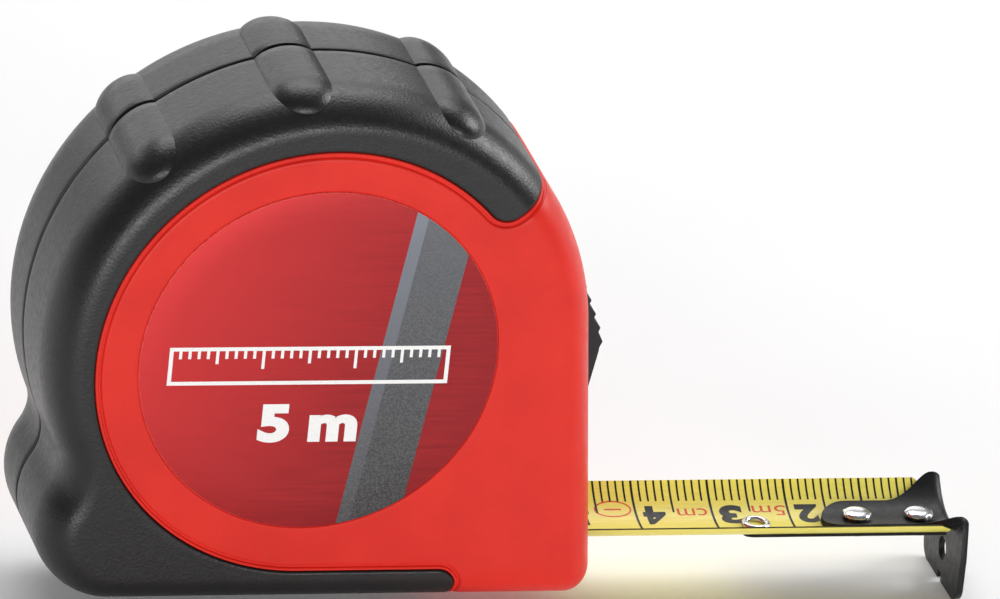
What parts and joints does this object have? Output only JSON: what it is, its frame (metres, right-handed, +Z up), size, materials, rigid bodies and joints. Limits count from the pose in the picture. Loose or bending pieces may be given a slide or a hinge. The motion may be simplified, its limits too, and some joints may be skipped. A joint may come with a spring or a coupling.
{
  "type": "tape measure",
  "caption": "Pocket tape measure: D-shaped clamshell case with rubber grip, cupped steel blade on a sprung spool, floating end hook, thumb lock and belt clip.",
  "frame": {"origin": "on the flat base, straight below the spool axis, on the parting plane between the two shells", "axes": "+X the way the blade comes out, +Y towards the belt clip side, +Z up"},
  "size_m": [0.1231, 0.0368, 0.0746],
  "materials": {
    "red_plastic": "moulded ABS, satin gloss",
    "black_rubber": "soft matt overmould with fine grain",
    "label_foil": "brushed red metallised film",
    "dark_steel": "blackened steel",
    "black_plastic": "moulded, satin",
    "plain_steel": "turned steel",
    "white_plastic": "natural acetal",
    "spool_plastic": "moulded, matt",
    "spring_steel": "blued spring steel",
    "blade_paint": "yellow enamel on steel, printed scale",
    "hook_steel": "black satin coating, worn edges",
    "rivet_chrome": "bright plated",
    "clip_steel": "black coated spring steel"
  },
  "bodies": {
    "case": {"near_shell": "red_plastic", "far_shell": "red_plastic", "near_grip": "black_rubber", "far_grip": "black_rubber", "face_label": "label_foil", "case_screws": "dark_steel", "mouth_liner": "black_plastic", "arbor": "plain_steel", "spool_washers": "white_plastic", "clip_base": "clip_steel", "clip_screw": "dark_steel"},
    "spool": {"spool_drum": "spool_plastic", "spool_cover": "spool_plastic", "mainspring": "spring_steel", "wound_blade": "blade_paint"},
    "blade": {"blade": "blade_paint", "backing_plate": "hook_steel", "eyelet": "rivet_chrome", "hook_rivets": "rivet_chrome"},
    "hook": {"end_hook": "hook_steel"},
    "lock": {"lock_button": "black_plastic", "lock_slider": "spool_plastic"},
    "brake": {"brake_shoe": "white_plastic", "brake_pads": "black_rubber"},
    "clip": {"clip_arm": "clip_steel"}
  },
  "joints": [
    {"name": "spool_spin", "type": "hinge", "parent": "case", "child": "spool", "pos_m": [0, 0, 0.034], "axis": [0, 1, 0], "range_deg": [-17.9, 109.1]},
    {"name": "blade_slide", "type": "slide", "parent": "case", "child": "blade", "axis": [1, 0, 0], "range_m": [-0.0488, 0.008]},
    {"name": "hook_float", "type": "slide", "parent": "blade", "child": "hook", "axis": [1, 0, 0], "range_m": [-0.0008, 0]},
    {"name": "lock_slide", "type": "slide", "parent": "case", "child": "lock", "axis": [0.1032, 0, -0.9947], "range_m": [0, 0.006]},
    {"name": "brake_press", "type": "slide", "parent": "case", "child": "brake", "axis": [0, 0, -1], "range_m": [0, 0.0015]},
    {"name": "clip_flex", "type": "hinge", "parent": "case", "child": "clip", "pos_m": [0, 0.01925, 0.048], "axis": [1, 0, 0], "range_deg": [0, 10], "stiffness_Nm_per_rad": 1.5}
  ],
  "couplings": [
    {"joint": "blade_slide", "follows": "spool_spin", "m_per_rad": -0.0256},
    {"joint": "brake_press", "follows": "lock_slide", "ratio": 0.25}
  ]
}
